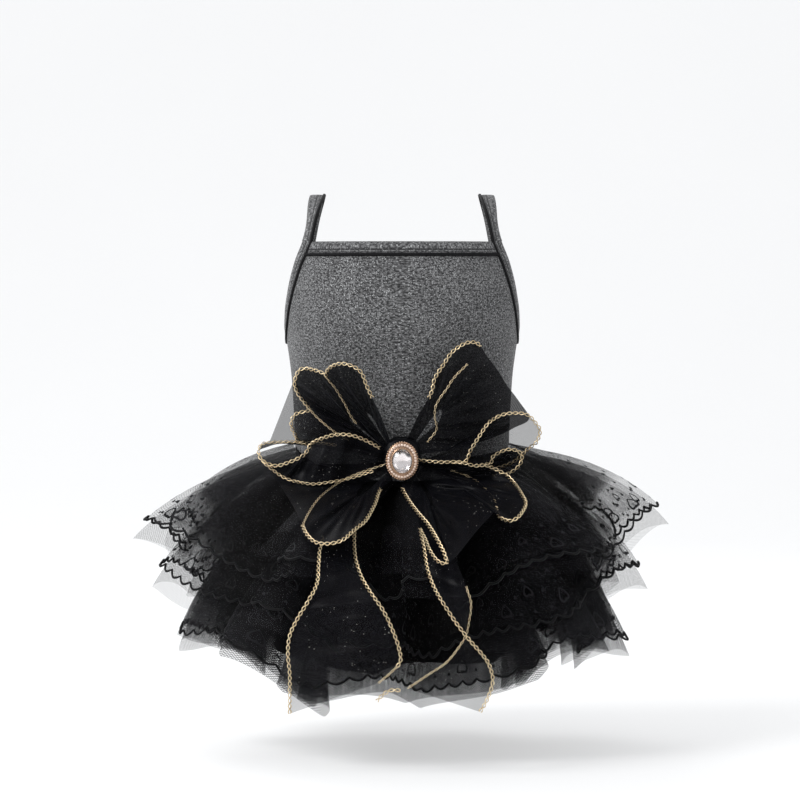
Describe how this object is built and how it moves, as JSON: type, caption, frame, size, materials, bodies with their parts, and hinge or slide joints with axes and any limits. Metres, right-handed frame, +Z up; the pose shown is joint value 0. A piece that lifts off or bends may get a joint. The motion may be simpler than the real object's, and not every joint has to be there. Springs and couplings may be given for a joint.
{
  "type": "dog dress",
  "caption": "Small dog's dress with a grey knit bodice, tiered black net and lace skirt, organza bow with gold edges and an oval brooch.",
  "frame": {"origin": "under the two shoulder straps, midway between them, where the dress hangs on its wearer's shoulders", "axes": "+Z up, +X to the right in the picture, -Y the side with the bow"},
  "size_m": [0.2855, 0.2674, 0.2732],
  "materials": {
    "grey_knit": "grey melange rib knit with silver flecks",
    "grey_binding": "folded knit strip, twin stitched",
    "black_lining": "plain matt lining",
    "black_lace": "dotted net with a corded scalloped edge",
    "black_tulle": "fine stiff net",
    "black_organza": "sheer glittering organza with gold braid edges",
    "rose_gold": "polished rose gold plating",
    "pink_pearl": "pinkish pearl",
    "clear_stone": "clear, faceted, foil backed"
  },
  "bodies": {
    "root": {"bodice": "grey_knit", "neck_binding_front": "grey_binding", "neck_binding_back": "grey_binding", "armhole_strap_left": "grey_binding", "armhole_strap_right": "grey_binding", "skirt_yoke": "black_lining", "lace_tier_1": "black_lace", "tulle_tier_1": "black_tulle", "tulle_tier_2": "black_tulle", "lace_tier_3": "black_lace", "tulle_tier_3": "black_tulle", "bow_loop_top_left": "black_organza", "bow_loop_upper_left": "black_organza", "bow_loop_left_sheer": "black_organza", "bow_loop_left": "black_organza", "bow_loop_lower_left": "black_organza", "bow_loop_lower_middle": "black_organza", "bow_loop_lower_right": "black_organza", "bow_loop_small_right": "black_organza", "bow_loop_right": "black_organza", "bow_loop_upper_right": "black_organza", "bow_tail_left": "black_organza", "bow_tail_right": "black_organza", "bow_knot": "black_organza", "brooch_setting": "rose_gold", "brooch_bead_ring": "pink_pearl", "brooch_stone": "clear_stone"}
  },
  "joints": []
}
